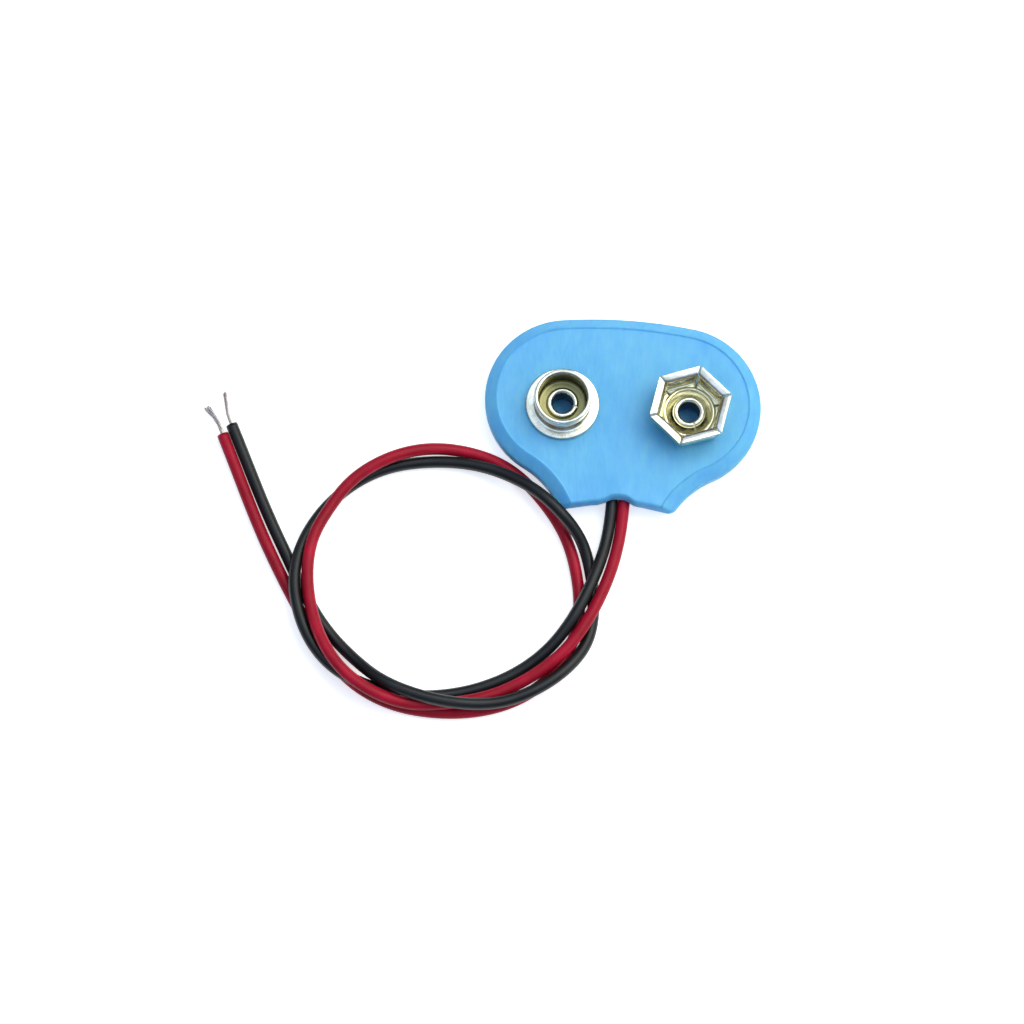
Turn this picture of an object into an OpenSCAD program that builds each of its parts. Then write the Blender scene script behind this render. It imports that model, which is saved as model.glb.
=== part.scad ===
// Nine volt battery snap: a flat vinyl pouch with a riveted stud and a riveted socket,
// and two insulated leads tied in one loose knot. Millimetres.
// Origin on the back face, midway between the contacts. X runs towards the socket,
// Y away from the leads, Z up out of the contact face.

/* [Contacts] */
// Distance between the centres of the two contacts
contact_spacing = 12.7; // [11.5:0.1:14]
// Thickness of the drawn contact metal
contact_t = 0.3; // [0.2:0.02:0.36]

/* [Stud] */
// Diameter of the stud's head, where the battery's petals ride over it
stud_head_d = 5.72; // [5.5:0.02:6]
// Diameter of the waist under the head
stud_waist_d = 5.38; // [5.2:0.02:5.48]
// Diameter of the open cup inside the stud
stud_cup_d = 4.86; // [4.5:0.02:5]
// Diameter of the flange that sits on the cover
stud_flange_d = 7.4; // [6.8:0.1:8]
// Height of the stud above the cover's face
stud_h = 2.75; // [2.5:0.05:3.2]
// Height of the straight band round the head
stud_band_h = 0.75; // [0.5:0.05:0.9]

/* [Socket] */
// Width over the flats of the six flared lips
crown_w = 7.35; // [6.8:0.05:7.6]
// Width of the level lip at the top of a petal
flare_w = 0.65; // [0.4:0.05:0.7]
// Width between the flats at the petals' waist, which grips the battery's stud
grip_w = 5.4; // [5.2:0.02:5.6]
// Height of the waist above the cover's face
grip_h = 1.9; // [1.7:0.05:2]
// Width over the flats of the petals' belly, near the floor
belly_w = 6.7; // [6.4:0.1:7]
// Height of the crown above the cover's face
crown_h = 3.05; // [2.6:0.05:3.2]
// Width of the slit between two petals
slit_w = 0.06; // [0.04:0.02:0.3]
// Turn of the crown about its axis, in degrees
crown_turn = 19.5; // [0:0.5:60]
// Diameter of the raised ring in the socket's floor
floor_ring_d = 4.9; // [4.6:0.1:5.2]
// Height of that ring above the floor
floor_ring_h = 0.22; // [0.1:0.02:0.3]

/* [Eyelets] */
// Outside diameter of the eyelet's barrel
eyelet_d = 2.6; // [2.3:0.05:2.8]
// Diameter of the hole through the eyelet
eyelet_bore_d = 2; // [1.6:0.05:2.1]
// Diameter of the rolled heads
eyelet_head_d = 3.3; // [3:0.05:3.6]
// Height of the rolled heads
eyelet_head_h = 0.38; // [0.25:0.01:0.45]
// Width of the split in the upper roll
split_w = 0.14; // [0.05:0.01:0.25]

/* [Solder tags] */
// Diameter of the tag's ring
tag_ring_d = 5.6; // [5:0.1:6.4]
// Length from the contact's centre to the end of the tag's tail
tag_len = 5.2; // [4.8:0.1:5.8]
// Width of the tail
tag_tail_w = 1.8; // [1.4:0.1:2.4]
// Angle of the tail below the line of the contacts, in degrees
tag_angle = 45; // [38:1:55]
// Thickness of the tag
tag_t = 0.3; // [0.2:0.02:0.36]
// Length of the solder along the tail
solder_len = 2.2; // [1.6:0.1:2.6]

/* [Cover outline] */
// Overall width of the cover
cover_w = 27.8; // [26:0.2:30]
// Radius of the two round ends
lobe_r = 8.35; // [8:0.05:9]
// Height of the round ends' centres above the line of the contacts
lobe_y = 0.9; // [0:0.1:1.8]
// Radius of the long upper edge
crown_r = 49; // [40:1:70]
// Radius of the hollows beside the neck
flank_r = 9; // [7:0.5:11]
// Width that the neck's sides run in to
neck_w = 9.4; // [8.4:0.2:10.4]
// Place of the cover's centre line from the middle of the contacts
cover_shift = -0.3; // [-0.5:0.05:0.3]

/* [Cover section] */
// Thickness of the front sheet under the contacts
face_t = 0.75; // [0.6:0.05:1]
// Thickness of the rear sheet
back_t = 0.6; // [0.5:0.05:0.9]
// Height of the front cover's upright edge
edge_t = 1.05; // [0.8:0.05:1.2]
// Width of the sloping rim, seen from above
rim_w = 1.2; // [1:0.05:1.4]
// Height of the low lip that borders the face
lip_h = 0.12; // [0.05:0.01:0.2]
// Width of the lip's inner slope
lip_w = 0.12; // [0.06:0.01:0.2]
// Width of the welded seam round the pocket
seam_w = 1.7; // [1.5:0.05:2]
// How far the rear cover's edge stands back from the front cover's edge
rear_setback = 0.35; // [0.2:0.05:0.6]
// How much further the rear cover draws in towards its flat back
rear_draft = 1; // [0.6:0.05:1.3]

/* [Mouth] */
// Place of the mouth's edge on the centre line
mouth_y = -9.8; // [-10:0.05:-9.2]
// Radius of the arched mouth edge
mouth_r = 20; // [12:0.5:24]
// Place of the arched edge's middle from the cover's centre line
mouth_shift = 0.6; // [-0.8:0.1:0.8]
// Width of the rounding along the mouth's upper edge
mouth_round = 0.3; // [0.2:0.05:0.6]
// How far the mouth's edge draws back over the leads
mouth_scoop = 0.55; // [0:0.05:0.6]
// How far the mouth's wall draws in from its upper edge down to the seam
mouth_under = 0.25; // [0:0.05:0.4]
// How far the lip is lifted over the leads
mouth_lift = 0.16; // [0:0.02:0.2]
// Radius that rounds the neck's two corners
corner_r = 0.9; // [0.5:0.05:1.2]
// Length of the sealed neck that the leads pass through
seal_len = 1.6; // [1.2:0.1:2]

/* [Contact plate] */
// Thickness of the fibre plate that holds the contacts
plate_t = 0.4; // [0.3:0.02:0.6]
// Width of the plate
plate_w = 7.2; // [6.4:0.1:8]

/* [Leads] */
// Outside diameter of a lead
lead_d = 1.2; // [1:0.05:1.2]
// Diameter of the bare twisted strands
strand_d = 0.45; // [0.3:0.01:0.5]
// Room round a lead inside the cover
lead_clear = 0.05; // [0.02:0.01:0.12]
// Room round an eyelet in the pieces that it holds
rivet_clear = 0.05; // [0.02:0.01:0.1]

/* [Hidden] */

vinyl_blue = "#62b2f0";
fibre_brown = "#8a6440";
nickel = "#cfc9ba";
solder_grey = "#a9adb0";
lead_black = "#1c2022";
lead_red = "#b51f38";
tinned_copper = "#c9c2bc";

// Side of each contact: the stud lies towards -X, the socket towards +X
stud_side = -1;
socket_side = 1;

// Heights, from the back face up
lead_z = back_t + lead_d / 2 + 2 * lead_clear;
seam_z = lead_z;
plate_z = lead_z + lead_d / 2 + lead_clear;
tag_z = plate_z - tag_t;
face_under_z = plate_z + plate_t;
face_z = face_under_z + face_t;
edge_z = seam_z + edge_t;
rim_z = face_z + lip_h;
edge_round = 0.12;
// The rear wall bends at these shares of its draft and of the back sheet
rear_knee_in = 0.6;
rear_knee_up = 0.4;
// How far the rear cover stands back at the mouth
rear_mouth = mouth_under + rear_setback;

// Centres of the arcs that make the outline, right half, on the cover's centre line
lobe_c = [cover_w / 2 - lobe_r, lobe_y];
crown_c = [0, lobe_y - sqrt(pow(crown_r - lobe_r, 2) - pow(lobe_c[0], 2))];
flank_x = neck_w / 2 + flank_r;
flank_c = [flank_x, lobe_y - sqrt(pow(lobe_r + flank_r, 2) - pow(flank_x - lobe_c[0], 2))];
flank_a = bearing(flank_c, lobe_c);
crown_a = bearing(crown_c, lobe_c);

// Steps along each arc of the outline
corner_steps = 5;
flank_steps = 9;
lobe_steps = 27;
crown_steps = 5;
// Angles from the end of one arc to the first point on the next, in degrees
flank_gap = 3;
lobe_gap = 4;
crown_gap = 1;
// The neck's corners are rounded by at least this radius, however far they are drawn in
corner_least = 0.25;
// The pair of leads in the mouth: its middle, and half the distance between the leads
pair_x = -0.1;
pair_half = lead_d / 2;
// Way out for the leads: radius of its round sides, and the mouth's last plain point beside it
tunnel_r = lead_d / 2 + lead_clear;
mouth_last_x = 2.6;

// Bends in the drawn metal: the stud's foot, a petal's foot, and the height that a lip curls over
stud_foot_r = 0.35;
petal_foot_r = 0.5;
lip_curl = 0.14;
// The solder along the tail: share of its full radius at a share of its length
solder_shape = [[0.9, 0], [1, 0.25], [0.8, 0.65], [0.3, 1]];
// Bearing of the split in each eyelet's roll, in degrees
stud_split = -12;
socket_split = -65;

// A little more than nothing, so that a cut passes through its face
cut = 0.5;

// Leads: the straight start at the tag, then points along the route, laid out by hand
lead_straight = 1.6;
lead_sides = 8;
black_path = [
    [-0.78, -7.0, lead_z], [pair_x - pair_half, -9.8, lead_z], [-0.85, -12.4, 0.9], [-1.35, -15.2, 1.6],
    [-2.2, -18.0, 1.9], [-3.6, -21.3, 1.9], [-5.8, -24.6, 1.2], [-9.0, -27.3, 0.6],
    [-12.8, -29.2, 0.6], [-16.8, -30.2, 0.7], [-20.6, -30.4, 1.4], [-23.5, -29.8, 1.75],
    [-26.4, -28.7, 1.9], [-29.0, -26.4, 1.8], [-30.8, -23.2, 1.8], [-31.65, -19.6, 1.95],
    [-31.3, -16.1, 1.3], [-29.95, -12.8, 0.6], [-27.9, -10.2, 0.6], [-24.1, -7.5, 0.6],
    [-19.0, -6.25, 0.6], [-14.2, -6.45, 1.15], [-10.6, -7.7, 2.0], [-7.65, -9.5, 3.0],
    [-5.35, -11.5, 2.95], [-3.4, -13.5, 1.4], [-2.3, -16.6, 0.6], [-1.75, -20.2, 0.6],
    [-2.1, -23.6, 0.7], [-3.7, -26.3, 1.5], [-6.5, -28.8, 1.9], [-10.2, -30.6, 2.0],
    [-14.2, -31.1, 2.65], [-18.0, -30.7, 2.9], [-21.8, -29.5, 2.75], [-24.7, -27.4, 1.2],
    [-27.5, -24.9, 0.6], [-33.5, -15.6, 0.6], [-39.5, -3.9, 0.6]
];
red_path = [
    [0.6, -7.0, lead_z], [pair_x + pair_half, -9.8, lead_z], [0.37, -12.4, 0.9], [-0.05, -15.2, 1.2],
    [-0.85, -18.2, 1.9], [-2.15, -21.4, 1.9], [-4.2, -24.8, 1.9], [-7.6, -27.8, 1.4],
    [-11.4, -29.9, 1.3], [-15.5, -31.0, 1.55], [-19.4, -31.4, 2.0], [-23.1, -30.5, 2.85],
    [-26.0, -28.7, 3.1], [-28.2, -25.9, 2.8], [-29.7, -22.4, 2.0], [-30.4, -18.8, 2.0],
    [-30.15, -15.2, 2.0], [-28.85, -12.2, 1.7], [-27.0, -9.3, 1.9], [-24.2, -7.0, 1.9],
    [-20.0, -5.2, 1.4], [-15.4, -5.0, 0.6], [-11.2, -6.4, 0.6], [-7.8, -9.3, 0.6],
    [-4.95, -13.2, 0.6], [-3.7, -16.8, 0.6], [-3.15, -20.5, 0.6], [-3.75, -24.3, 0.6],
    [-5.7, -27.6, 0.6], [-8.9, -30.1, 0.6], [-12.8, -31.45, 0.6], [-16.8, -31.8, 0.6],
    [-20.8, -31.35, 0.6], [-24.4, -29.85, 0.6], [-27.4, -27.3, 0.6], [-30.1, -23.7, 0.6],
    [-34.1, -17.3, 0.6], [-40.3, -5.0, 0.6]
];
// Bare ends, from the cut insulation outwards
black_bare = [[-39.5, -3.9, 0.6], [-40.0, -2.8, 0.55], [-40.3, -1.6, 0.45], [-40.6, -0.4, 0.3]];
red_bare = [[-40.3, -5.0, 0.6], [-40.7, -4.1, 0.55], [-41.3, -3.2, 0.45], [-42.3, -2.1, 0.3]];

// Plain helpers
function unit(v) = v / norm(v);
function polar(r, a) = r * [cos(a), sin(a)];
function arc(c, r, a0, a1, n) = [for (i = [0:n]) c + polar(r, a0 + (a1 - a0) * i / n)];

// Where two circles cross, on the left of the line from the first to the second
function crossing(c0, r0, c1, r1) =
    let (d = norm(c1 - c0), u = (c1 - c0) / d)
    let (along = (r0 * r0 - r1 * r1 + d * d) / (2 * d))
    c0 + along * u + sqrt(r0 * r0 - along * along) * [-u[1], u[0]];

// A smooth curve through all its points, n steps between each two
function smooth(p, n) =
    let (last = len(p) - 1, q = concat([2 * p[0] - p[1]], p, [2 * p[last] - p[last - 1]]))
    concat(
        [for (i = [1:last], k = [0:n - 1]) blend(q[i - 1], q[i], q[i + 1], q[i + 2], k / n)],
        [p[last]]);
function blend(a, b, c, d, t) =
    (2 * b + (c - a) * t + (2 * a - 5 * b + 4 * c - d) * t * t + (3 * b - a - 3 * c + d) * t * t * t) / 2;

// A strip of metal of thickness t along a flat curve, as a closed outline
function strip(p, t) =
    let (n = len(p) - 1)
    let (dir = [for (i = [0:n]) unit(p[min(i + 1, n)] - p[max(i - 1, 0)])])
    concat(
        [for (i = [0:n]) p[i] + t / 2 * [dir[i][1], -dir[i][0]]],
        [for (i = [n:-1:0]) p[i] - t / 2 * [dir[i][1], -dir[i][0]]]);

// Direction from one point to another, in degrees
function bearing(a, b) = atan2(b[1] - a[1], b[0] - a[0]);

// One side of the arch over the pair of leads, in the mouth.
// Each point has its place from the centre line and its rise from 0 to 1.
function arch_half(side) =
    let (flat = pair_half + side * (pair_x - cover_shift))
    concat(
        [[0, 1]],
        [for (a = [0:30:90]) [flat + tunnel_r * sin(a), cos(a)]],
        [[mouth_last_x, 0]]);

// One half of the cover's outline, drawn as a right half, from the middle of the mouth
// up to the middle of the upper edge.
// The sides are drawn in by d, the mouth by m, and an arc that touches both rounds the neck's corner.
// The third number of each point is the rise of the arch over the leads.
function half_outline(d, m, side) =
    let (c = max(corner_r - d, corner_least))
    let (mid = [side * mouth_shift, mouth_y - mouth_r], r = mouth_r + m)
    let (k = crossing(mid, r + c, flank_c, flank_r + d + c))
    let (mouth = [for (p = arch_half(side))
        [p[0], mid[1] + sqrt(r * r - pow(p[0] - mid[0], 2)) + mouth_scoop * p[1], p[1]]])
    let (sides = concat(
        arc(k, c, bearing(k, mid), bearing(k, flank_c), corner_steps),
        arc(flank_c, flank_r + d, bearing(flank_c, k) - flank_gap, flank_a, flank_steps),
        arc(lobe_c, lobe_r - d, flank_a - 180 + lobe_gap, crown_a, lobe_steps),
        arc(crown_c, crown_r - d, crown_a + crown_gap, 90, crown_steps)))
    concat(mouth, [for (p = sides) [p[0], p[1], 0]]);
// The whole outline, counter-clockwise from the middle of the mouth
function outline(d, m) =
    let (right = half_outline(d, m, 1), left = half_outline(d, m, -1))
    let (mirrored = [for (i = [len(left) - 2:-1:1]) [-left[i][0], left[i][1], left[i][2]]])
    [for (p = concat(right, mirrored)) p + [cover_shift, 0, 0]];

// Points and faces of a solid skinned through rings.
// A ring has its side inset, its mouth inset, its height and its rise over the leads.
function skin_points(rings) =
    [for (r = rings, p = outline(r[0], r[1])) [p[0], p[1], r[2] + r[3] * p[2]]];
function skin_faces(n, m) = concat(
    [[for (i = [0:n - 1]) i]],
    [for (k = [0:m - 2], i = [0:n - 1]) [k * n + i, (k + 1) * n + i, (k + 1) * n + (i + 1) % n]],
    [for (k = [0:m - 2], i = [0:n - 1]) [k * n + i, (k + 1) * n + (i + 1) % n, k * n + (i + 1) % n]],
    [[for (i = [n - 1:-1:0]) (m - 1) * n + i]]);

// Points and faces of a round cord of diameter d along a path
function cord_points(path, d) =
    let (last = len(path) - 1)
    [for (i = [0:last])
        let (t = unit(path[min(i + 1, last)] - path[max(i - 1, 0)]))
        let (s = unit(cross(t, [0, 0, 1])), u = cross(s, t))
        for (k = [0:lead_sides - 1])
            let (a = (k + 0.5) * 360 / lead_sides)
            path[i] + d / 2 * (cos(a) * s + sin(a) * u)];
function cord_faces(m) =
    let (n = lead_sides)
    concat(
        [[for (k = [n - 1:-1:0]) k]],
        [for (i = [0:m - 2], k = [0:n - 1]) [i * n + k, i * n + (k + 1) % n, (i + 1) * n + (k + 1) % n]],
        [for (i = [0:m - 2], k = [0:n - 1]) [i * n + k, (i + 1) * n + (k + 1) % n, (i + 1) * n + k]],
        [[for (k = [0:n - 1]) (m - 1) * n + k]]);

// A lead's first two points run straight out from the end of its tag
function lead_start(side) = [for (s = [tag_len, tag_len + lead_straight])
    [side * (contact_spacing / 2 - s * cos(tag_angle)), -s * sin(tag_angle), lead_z]];

// Places a piece on one contact's axis
module at_contact(side) {
    translate([side * contact_spacing / 2, 0, 0]) children();
}

// Solid through the rings
module skin(rings) {
    polyhedron(skin_points(rings), skin_faces(len(outline(0, 0)), len(rings)), convexity = 6);
}

// Round cord along a path
module cord(path, d) {
    polyhedron(cord_points(path, d), cord_faces(len(path)), convexity = 10);
}

// Front moulding: the face sheet inside a low lip, a sloping rim and an upright edge, hollow behind.
// The skin starts at the ceiling of the pocket and runs out round the edge to the face.
module front_cover() {
    color(vinyl_blue)
        difference() {
            skin([
                [seam_w, seal_len, face_under_z, 0],
                [seam_w, seal_len, seam_z, tunnel_r],
                [0, mouth_under, seam_z, tunnel_r],
                [0, 0, edge_z, 0],
                [edge_round, edge_round / 2, edge_z + 2 * edge_round, 0],
                [rim_w - lip_w, mouth_round - lip_w, rim_z - lip_h / 3, mouth_lift],
                [rim_w, mouth_round, rim_z, mouth_lift],
                [rim_w + lip_w, mouth_round + lip_w, face_z, 0]
            ]);
            for (side = [stud_side, socket_side])
                at_contact(side)
                    cylinder(d = eyelet_d + 2 * rivet_clear, h = rim_z + cut, $fn = 64);
        }
}

// Rear moulding: a shallow tray with a flat back, welded to the front cover round its edge
module rear_cover() {
    color(vinyl_blue)
        skin([
            [rear_setback + rear_draft, rear_mouth + rear_setback, 0, 0],
            [rear_setback + rear_draft * rear_knee_in, rear_mouth, back_t * rear_knee_up, 0],
            [rear_setback, rear_mouth, seam_z, -tunnel_r],
            [seam_w, seal_len, seam_z, -tunnel_r],
            [seam_w, seal_len, back_t, 0]
        ]);
}

// Stiff fibre plate under the front sheet
module contact_plate() {
    color(fibre_brown)
        translate([0, 0, plate_z])
            difference() {
                linear_extrude(height = plate_t)
                    union() {
                        for (side = [stud_side, socket_side])
                            translate([side * contact_spacing / 2, 0])
                                circle(d = plate_w, $fn = 96);
                        square([contact_spacing, plate_w], center = true);
                    }
                for (side = [stud_side, socket_side])
                    at_contact(side)
                        translate([0, 0, -cut])
                            cylinder(d = eyelet_d + 2 * rivet_clear, h = plate_t + 2 * cut, $fn = 64);
            }
}

// Stud: a drawn cup with a double wall, its rim rolled over, standing on a flange
module stud_contact() {
    hole_r = eyelet_d / 2 + rivet_clear;
    flange_r = stud_flange_d / 2;
    head_r = stud_head_d / 2;
    waist_r = stud_waist_d / 2;
    cup_r = stud_cup_d / 2;
    roll_r = (head_r - cup_r) / 2;
    band_top = stud_h - roll_r;
    band_low = band_top - stud_band_h;
    color(nickel)
        at_contact(stud_side)
            translate([0, 0, face_z])
                rotate_extrude($fn = 96)
                    polygon(concat(
                        [[hole_r, 0]],
                        arc([flange_r - contact_t / 2, contact_t / 2], contact_t / 2, -90, 90, 8),
                        arc([waist_r + stud_foot_r, contact_t + stud_foot_r], stud_foot_r, 270, 180, 6),
                        [[waist_r, band_low - (head_r - waist_r)], [head_r, band_low]],
                        arc([cup_r + roll_r, band_top], roll_r, 0, 180, 12),
                        arc([cup_r - stud_foot_r, contact_t + stud_foot_r], stud_foot_r, 0, -90, 6),
                        [[hole_r, contact_t]]));
}

// One petal: a bent strip that rises from the floor, draws in to its waist and curls out level
module petal() {
    t = contact_t;
    belly = belly_w / 2 - t / 2;
    waist = grip_w / 2 + t / 2;
    lip = crown_w / 2;
    top = crown_h - t / 2;
    foot_top = t / 2 + petal_foot_r;
    foot = arc([belly - petal_foot_r, foot_top], petal_foot_r, -90, 0, 4);
    rise = smooth([
        [belly, foot_top],
        [belly, (foot_top + grip_h) / 2],
        [waist, grip_h],
        [waist + lip_curl / 4, (grip_h + top - lip_curl) / 2],
        [lip - flare_w, top - lip_curl],
        [lip - flare_w / 2, top - lip_curl / 6],
        [lip, top]
    ], 4);
    bend = concat([[floor_ring_d / 2 - t, t / 2]], foot, [for (i = [1:len(rise) - 1]) rise[i]]);
    wide = 2 * crown_w;
    half = (wide - slit_w) * tan(30);
    intersection() {
        rotate([90, 0, 0])
            linear_extrude(height = wide, center = true)
                polygon(strip(bend, t));
        translate([0, 0, -cut])
            linear_extrude(height = crown_h + 2 * cut)
                polygon([[slit_w, 0], [wide, -half], [wide, half]]);
    }
}

// Socket: a floor with a raised ring, and six spring petals in a crown
module socket_contact() {
    hole_r = eyelet_d / 2 + rivet_clear;
    floor_r = belly_w / 2 - contact_t / 2 - petal_foot_r;
    color(nickel)
        at_contact(socket_side)
            translate([0, 0, face_z])
                rotate([0, 0, crown_turn]) {
                    rotate_extrude($fn = 96)
                        polygon(concat(
                            [[hole_r, 0], [floor_r, 0], [floor_r, contact_t]],
                            arc([floor_ring_d / 2, contact_t], floor_ring_h, 0, 180, 10),
                            [[hole_r, contact_t]]));
                    for (i = [0:5])
                        rotate([0, 0, 30 + 60 * i])
                            petal();
                }
}

// Tubular eyelet: a barrel with a split roll above the contact and a plain one under the tag
module eyelet(split_angle) {
    bore_r = eyelet_bore_d / 2;
    head_r = eyelet_head_d / 2;
    mid_r = (bore_r + head_r) / 2;
    half = head_r - mid_r;
    top = face_z + contact_t;
    round_up = [for (a = [0:15:180]) [mid_r + half * cos(a), top + eyelet_head_h * sin(a)]];
    round_down = [for (a = [180:15:360]) [mid_r + half * cos(a), tag_z + eyelet_head_h * sin(a)]];
    difference() {
        rotate_extrude($fn = 96)
            polygon(concat(round_up, round_down, [[eyelet_d / 2, tag_z], [eyelet_d / 2, top]]));
        rotate([0, 0, split_angle])
            translate([0, -split_w / 2, top])
                cube([eyelet_head_d, split_w, eyelet_head_h + cut]);
    }
}

module stud_eyelet() {
    color(nickel)
        at_contact(stud_side)
            eyelet(stud_split);
}

module socket_eyelet() {
    color(nickel)
        at_contact(socket_side)
            eyelet(socket_split);
}

// Ring tag with a tail that points at the neck
module solder_tag(side) {
    at_contact(side)
        translate([0, 0, tag_z])
            linear_extrude(height = tag_t)
                difference() {
                    union() {
                        circle(d = tag_ring_d, $fn = 96);
                        rotate(side > 0 ? 180 + tag_angle : -tag_angle)
                            translate([0, -tag_tail_w / 2])
                                square([tag_len, tag_tail_w]);
                    }
                    circle(d = eyelet_d + 2 * rivet_clear, $fn = 64);
                }
}

module stud_solder_tag() {
    color(nickel) solder_tag(stud_side);
}

module socket_solder_tag() {
    color(nickel) solder_tag(socket_side);
}

// Solder that runs from the lead's cut end along the underside of the tail
module solder_joint(side) {
    full = lead_d / 2 - lead_clear;
    shape = smooth([for (s = solder_shape) [full * s[0], solder_len * s[1]]], 5);
    start = lead_start(side)[0];
    intersection() {
        translate(start)
            rotate([0, 0, side > 0 ? tag_angle : 180 - tag_angle])
                rotate([0, 90, 0])
                    rotate_extrude($fn = 48)
                        polygon(concat([[0, 0]], shape, [[0, solder_len]]));
        translate([start[0] - tag_len, start[1] - tag_len, 0])
            cube([2 * tag_len, 2 * tag_len, tag_z]);
    }
}

module stud_solder_joint() {
    color(solder_grey) solder_joint(stud_side);
}

module socket_solder_joint() {
    color(solder_grey) solder_joint(socket_side);
}

module black_lead() {
    color(lead_black) cord(concat(lead_start(stud_side), black_path), lead_d);
}

module black_strands() {
    color(tinned_copper) cord(black_bare, strand_d);
}

module red_lead() {
    color(lead_red) cord(concat(lead_start(socket_side), red_path), lead_d);
}

module red_strands() {
    color(tinned_copper) cord(red_bare, strand_d);
}

front_cover();
rear_cover();
contact_plate();
stud_contact();
stud_eyelet();
stud_solder_tag();
stud_solder_joint();
socket_contact();
socket_eyelet();
socket_solder_tag();
socket_solder_joint();
black_lead();
black_strands();
red_lead();
red_strands();
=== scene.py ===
"""A nine volt battery snap on a white floor: blue vinyl pouch, nickel contacts, two leads in one open loop.

All sizes are millimetres in the row frame and become metres where a mesh is made.
"""
import math
import bpy
import numpy as np
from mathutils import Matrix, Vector


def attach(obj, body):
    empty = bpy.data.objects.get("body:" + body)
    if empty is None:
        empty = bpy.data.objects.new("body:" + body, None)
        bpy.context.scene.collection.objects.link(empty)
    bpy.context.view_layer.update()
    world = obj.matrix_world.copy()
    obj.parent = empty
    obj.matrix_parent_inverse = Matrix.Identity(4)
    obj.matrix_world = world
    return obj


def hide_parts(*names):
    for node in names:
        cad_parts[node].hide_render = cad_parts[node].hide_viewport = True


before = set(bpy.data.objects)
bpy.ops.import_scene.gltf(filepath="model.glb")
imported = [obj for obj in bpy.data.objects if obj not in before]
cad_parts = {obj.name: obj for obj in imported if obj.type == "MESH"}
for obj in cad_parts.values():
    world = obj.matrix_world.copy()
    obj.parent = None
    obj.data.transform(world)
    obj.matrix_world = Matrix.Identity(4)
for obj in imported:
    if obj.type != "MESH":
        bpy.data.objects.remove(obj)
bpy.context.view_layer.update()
MM = 0.001

# Sizes shared with the solids, in millimetres
CONTACT_SPACING = 12.7
CONTACT_T = 0.3
EYELET_D = 2.6
RIVET_CLEAR = 0.05
LEAD_D = 1.2
LEAD_CLEAR = 0.05
BACK_T = 0.6
TAG_T = 0.3
PLATE_T = 0.4
FACE_T = 0.75
EDGE_T = 1.05
RIM_W = 1.2
LIP_H = 0.12
LIP_W = 0.12
SEAM_W = 1.7
SEAL_LEN = 1.6
COVER_W = 27.8
COVER_X = -0.3

# What follows from them
CONTACT_X = CONTACT_SPACING / 2
HOLE_R = EYELET_D / 2 + RIVET_CLEAR
TUNNEL_R = LEAD_D / 2 + LEAD_CLEAR
SEAM_Z = BACK_T + LEAD_D / 2 + 2 * LEAD_CLEAR
PLATE_Z = SEAM_Z + TUNNEL_R
TAG_Z = PLATE_Z - TAG_T
FACE_UNDER_Z = PLATE_Z + PLATE_T
FACE_Z = FACE_UNDER_Z + FACE_T
EDGE_Z = SEAM_Z + EDGE_T
RIM_Z = FACE_Z + LIP_H


# Camera and light

# The camera that fits the photograph, all in millimetres.
CAMERA_LENS, SENSOR_W = 105.05, 36
CAMERA_PLACE = (-4.792, -88.124, 289.778)
CAMERA_TARGET = (-10.614, -10.697, 0)


def aim(obj, place, target):
    """Puts obj at place and turns its -Z axis towards target, both in millimetres."""
    obj.location = Vector(place) * MM
    obj.rotation_euler = (Vector(target) - Vector(place)).to_track_quat("-Z", "Y").to_euler()


camera = bpy.data.objects.new("camera", bpy.data.cameras.new("camera"))
bpy.context.collection.objects.link(camera)
bpy.context.scene.camera = camera
camera.data.sensor_width = SENSOR_W
camera.data.lens = CAMERA_LENS
camera.data.clip_start = 0.01
camera.data.clip_end = 10
aim(camera, CAMERA_PLACE, CAMERA_TARGET)


def area_lamp(name, place, target, size, watts, colour):
    """A square soft box of that size in millimetres."""
    lamp = bpy.data.objects.new(name, bpy.data.lights.new(name, "AREA"))
    lamp.data.size = size * MM
    lamp.data.energy = watts
    lamp.data.color = colour
    bpy.context.collection.objects.link(lamp)
    aim(lamp, place, target)


area_lamp("key soft box", place=(203, 154, 369), target=(0, -5, 0),
          size=400, watts=1.34, colour=(1.0, 0.96, 0.78))
area_lamp("overhead panel", place=(0, 130, 480), target=(0, 0, 0),
          size=700, watts=0.85, colour=(0.88, 0.95, 0.92))
area_lamp("white card at the right", place=(300, -70, 170), target=(0, 0, 0),
          size=200, watts=0.16, colour=(1.0, 1.0, 0.96))
bpy.context.scene.view_settings.view_transform = "Standard"


# Materials

# How much of each noise lies in its finer layers.
NOISE_ROUGH = 0.55


def linear(text):
    """An sRGB hex colour as linear red, green, blue and alpha."""
    parts = [int(text[i:i + 2], 16) / 255 for i in (1, 3, 5)]
    return [c / 12.92 if c <= 0.04045 else ((c + 0.055) / 1.055) ** 2.4 for c in parts] + [1.0]


def per_metre(size_mm):
    """The scale of a pattern whose marks are about size_mm across."""
    return 1 / MM / size_mm


def add(tree, kind, inputs=(), stops=(), **settings):
    """A node of that kind: settings go on the node, inputs are values or sockets by input name or number.

    stops are the places and hex colours along a colour ramp.
    """
    node = tree.nodes.new(kind)
    for key, value in settings.items():
        setattr(node, key, value)
    for key, value in dict(inputs).items():
        if isinstance(value, bpy.types.NodeSocket):
            tree.links.new(value, node.inputs[key])
        else:
            node.inputs[key].default_value = value
    if stops:
        band = node.color_ramp.elements
        while len(band) < len(stops):
            band.new(0.5)
        for element, (place, colour) in zip(band, stops):
            element.position = place
            element.color = linear(colour)
    return node


def material(name):
    """A new material, its node tree and its shader."""
    mat = bpy.data.materials.new(name)
    mat.use_nodes = True
    return mat, mat.node_tree, mat.node_tree.nodes["Principled BSDF"]


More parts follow.
